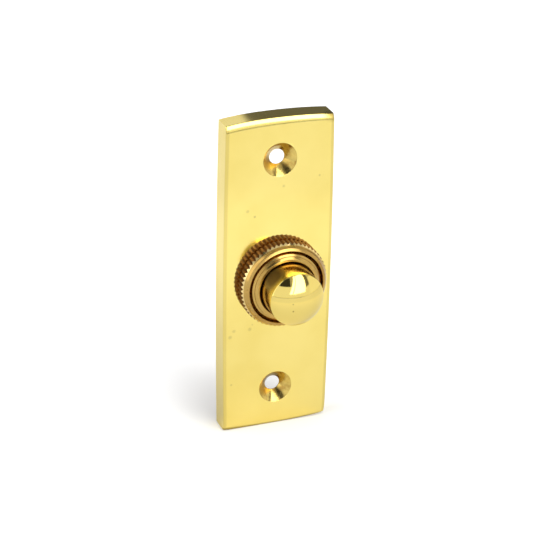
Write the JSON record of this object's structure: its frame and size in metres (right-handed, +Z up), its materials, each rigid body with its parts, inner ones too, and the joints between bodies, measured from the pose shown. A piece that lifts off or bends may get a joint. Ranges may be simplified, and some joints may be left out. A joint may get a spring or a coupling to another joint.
{
  "type": "door bell push button",
  "caption": "Oblong polished plate with a knurled collar and a domed spring-return button for a wired door bell.",
  "frame": {"origin": "at the back of the plate's front wall, midway between the two screw holes; the plate rests on the wall 2.85 mm behind it, and the button's axis is 0.7 mm to the right of it and 1.1 mm below", "axes": "+X to the viewer's right, +Z up along the plate, +Y into the wall; the button faces -Y"},
  "size_m": [0.0258, 0.0332, 0.076],
  "materials": {
    "plate_brass": "polished",
    "barrel_brass": "polished",
    "collar_brass": "polished",
    "button_brass": "mirror polished",
    "terminal_brass": "plain turned",
    "contact_bronze": "plain strip",
    "fibre": "vulcanised fibre",
    "phenolic": "moulded",
    "spring_steel": "bright wire",
    "plated_steel": "zinc plated"
  },
  "bodies": {
    "housing": {"backplate": "plate_brass", "barrel": "barrel_brass", "knurled_collar": "collar_brass", "button_buffer": "fibre", "return_spring": "spring_steel", "spring_seat": "plated_steel", "contact_base": "phenolic", "contact_stud_left": "terminal_brass", "contact_stud_right": "terminal_brass", "stud_washers": "terminal_brass", "stud_nuts": "terminal_brass", "terminal_washers": "terminal_brass", "terminal_nuts": "terminal_brass", "base_retaining_ring": "terminal_brass", "rear_locknut": "terminal_brass", "lock_washer": "plated_steel"},
    "button": {"push_button": "button_brass", "bridge_bush": "fibre", "contact_bridge": "contact_bronze", "bridge_washer": "fibre", "bridge_screw": "terminal_brass"}
  },
  "joints": [
    {"name": "button_press", "type": "slide", "parent": "housing", "child": "button", "axis": [0, 1, 0], "range_m": [0, 0.0018], "stiffness_N_per_m": 900, "springref_m": -0.002, "deforming": ["return_spring"]}
  ]
}
